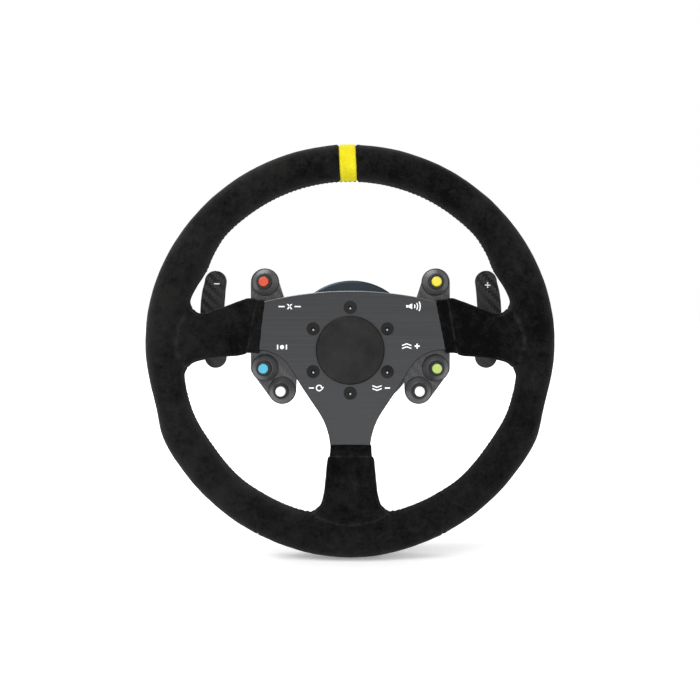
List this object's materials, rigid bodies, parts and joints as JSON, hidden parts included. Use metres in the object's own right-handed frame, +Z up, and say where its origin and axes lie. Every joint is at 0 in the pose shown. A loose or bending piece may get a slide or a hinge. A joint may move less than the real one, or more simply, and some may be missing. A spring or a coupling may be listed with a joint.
{
  "type": "quick release steering wheel",
  "caption": "Three-spoke racing wheel with a suede rim, carbon button plate, push buttons, shift paddles and a collar-operated quick release hub.",
  "frame": {"origin": "centre of the hub's rear mounting face, on the steering axis", "axes": "+Y along the steering axis towards the column, -Y towards the driver, +Z up towards the yellow marker, +X to the driver's right"},
  "size_m": [0.33, 0.1685, 0.3305],
  "materials": {
    "suede": "brushed suede",
    "marker": "dyed suede",
    "anodised_plate": "brushed, anodised dark grey",
    "hub_anodised": "satin anodised blue-grey",
    "black_anodised": "satin anodised black",
    "black_plastic": "fine texture",
    "gloss_plastic": "moulded, satin gloss",
    "carbon": "carbon twill under clear lacquer",
    "steel": "ground",
    "black_steel": "black oxide",
    "gold": "bright gold anodised",
    "rubber": "matt",
    "board": "solder mask",
    "red": "moulded",
    "yellow": "moulded",
    "blue": "moulded",
    "green": "moulded",
    "white": "moulded"
  },
  "bodies": {
    "column_hub": {"hub": "hub_anodised", "spline_insert": "steel", "wire_grommet": "rubber", "qr_base": "black_anodised", "base_screws": "steel", "spindle": "steel", "contact_socket": "black_plastic"},
    "wheel": {"qr_body": "black_anodised", "collar_clip": "steel", "contact_pins": "gold", "electronics_case": "black_plastic", "circuit_board": "board", "cable_socket": "steel", "plate_spacer": "black_anodised", "button_plate": "carbon", "spoke_frame": "anodised_plate", "rim_core": "steel", "rim_grip": "suede", "sleeve_left": "suede", "sleeve_right": "suede", "sleeve_bottom": "suede", "centre_marker": "marker", "centre_cap": "gloss_plastic", "wheel_screws": "black_steel", "button_bezels": "black_anodised", "button_nuts": "steel", "button_switches": "black_plastic", "paddle_housings": "black_plastic", "housing_screws": "steel", "hinge_pins": "steel", "housing_magnets": "steel", "paddle_bumpers": "rubber", "collar_spring": "steel", "spring_red": "steel", "spring_yellow": "steel", "spring_blue": "steel", "spring_green": "steel", "spring_white_left": "steel", "spring_white_right": "steel"},
    "collar": {"release_collar": "gold"},
    "ball_1": {"lock_ball_1": "steel"},
    "ball_2": {"lock_ball_2": "steel"},
    "ball_3": {"lock_ball_3": "steel"},
    "ball_4": {"lock_ball_4": "steel"},
    "ball_5": {"lock_ball_5": "steel"},
    "ball_6": {"lock_ball_6": "steel"},
    "push_red": {"button_red": "red"},
    "push_yellow": {"button_yellow": "yellow"},
    "push_blue": {"button_blue": "blue"},
    "push_green": {"button_green": "green"},
    "push_white_left": {"button_white_left": "white"},
    "push_white_right": {"button_white_right": "white"},
    "paddle_left": {"paddle_arm_left": "anodised_plate", "paddle_blade_left": "carbon", "paddle_screws_left": "steel", "arm_magnet_left": "steel"},
    "paddle_right": {"paddle_arm_right": "anodised_plate", "paddle_blade_right": "carbon", "paddle_screws_right": "steel", "arm_magnet_right": "steel"}
  },
  "joints": [
    {"name": "wheel_release", "type": "slide", "parent": "column_hub", "child": "wheel", "axis": [0, -1, 0], "range_m": [0, 0.06]},
    {"name": "collar_slide", "type": "slide", "parent": "wheel", "child": "collar", "axis": [0, 1, 0], "range_m": [0, 0.005], "deforming": ["collar_spring"]},
    {"name": "ball_1_slide", "type": "slide", "parent": "wheel", "child": "ball_1", "axis": [-0.866, 0, -0.5], "range_m": [0, 0.0013]},
    {"name": "ball_2_slide", "type": "slide", "parent": "wheel", "child": "ball_2", "axis": [0, 0, -1], "range_m": [0, 0.0013]},
    {"name": "ball_3_slide", "type": "slide", "parent": "wheel", "child": "ball_3", "axis": [0.866, 0, -0.5], "range_m": [0, 0.0013]},
    {"name": "ball_4_slide", "type": "slide", "parent": "wheel", "child": "ball_4", "axis": [0.866, 0, 0.5], "range_m": [0, 0.0013]},
    {"name": "ball_5_slide", "type": "slide", "parent": "wheel", "child": "ball_5", "axis": [0, 0, 1], "range_m": [0, 0.0013]},
    {"name": "ball_6_slide", "type": "slide", "parent": "wheel", "child": "ball_6", "axis": [-0.866, 0, 0.5], "range_m": [0, 0.0013]},
    {"name": "press_red", "type": "slide", "parent": "wheel", "child": "push_red", "axis": [0, 1, 0], "range_m": [0, 0.002], "stiffness_N_per_m": 600, "deforming": ["spring_red"]},
    {"name": "press_yellow", "type": "slide", "parent": "wheel", "child": "push_yellow", "axis": [0, 1, 0], "range_m": [0, 0.002], "stiffness_N_per_m": 600, "deforming": ["spring_yellow"]},
    {"name": "press_blue", "type": "slide", "parent": "wheel", "child": "push_blue", "axis": [0, 1, 0], "range_m": [0, 0.002], "stiffness_N_per_m": 600, "deforming": ["spring_blue"]},
    {"name": "press_green", "type": "slide", "parent": "wheel", "child": "push_green", "axis": [0, 1, 0], "range_m": [0, 0.002], "stiffness_N_per_m": 600, "deforming": ["spring_green"]},
    {"name": "press_white_left", "type": "slide", "parent": "wheel", "child": "push_white_left", "axis": [0, 1, 0], "range_m": [0, 0.002], "stiffness_N_per_m": 600, "deforming": ["spring_white_left"]},
    {"name": "press_white_right", "type": "slide", "parent": "wheel", "child": "push_white_right", "axis": [0, 1, 0], "range_m": [0, 0.002], "stiffness_N_per_m": 600, "deforming": ["spring_white_right"]},
    {"name": "shift_left", "type": "hinge", "parent": "wheel", "child": "paddle_left", "pos_m": [-0.054, -0.0985, 0.0355], "axis": [0, 0, 1], "range_deg": [0, 6], "stiffness_Nm_per_rad": 4},
    {"name": "shift_right", "type": "hinge", "parent": "wheel", "child": "paddle_right", "pos_m": [0.054, -0.0985, 0.0355], "axis": [0, 0, -1], "range_deg": [0, 6], "stiffness_Nm_per_rad": 4}
  ],
  "couplings": [
    {"joint": "ball_1_slide", "follows": "collar_slide", "ratio": 0.26},
    {"joint": "ball_2_slide", "follows": "collar_slide", "ratio": 0.26},
    {"joint": "ball_3_slide", "follows": "collar_slide", "ratio": 0.26},
    {"joint": "ball_4_slide", "follows": "collar_slide", "ratio": 0.26},
    {"joint": "ball_5_slide", "follows": "collar_slide", "ratio": 0.26},
    {"joint": "ball_6_slide", "follows": "collar_slide", "ratio": 0.26}
  ]
}
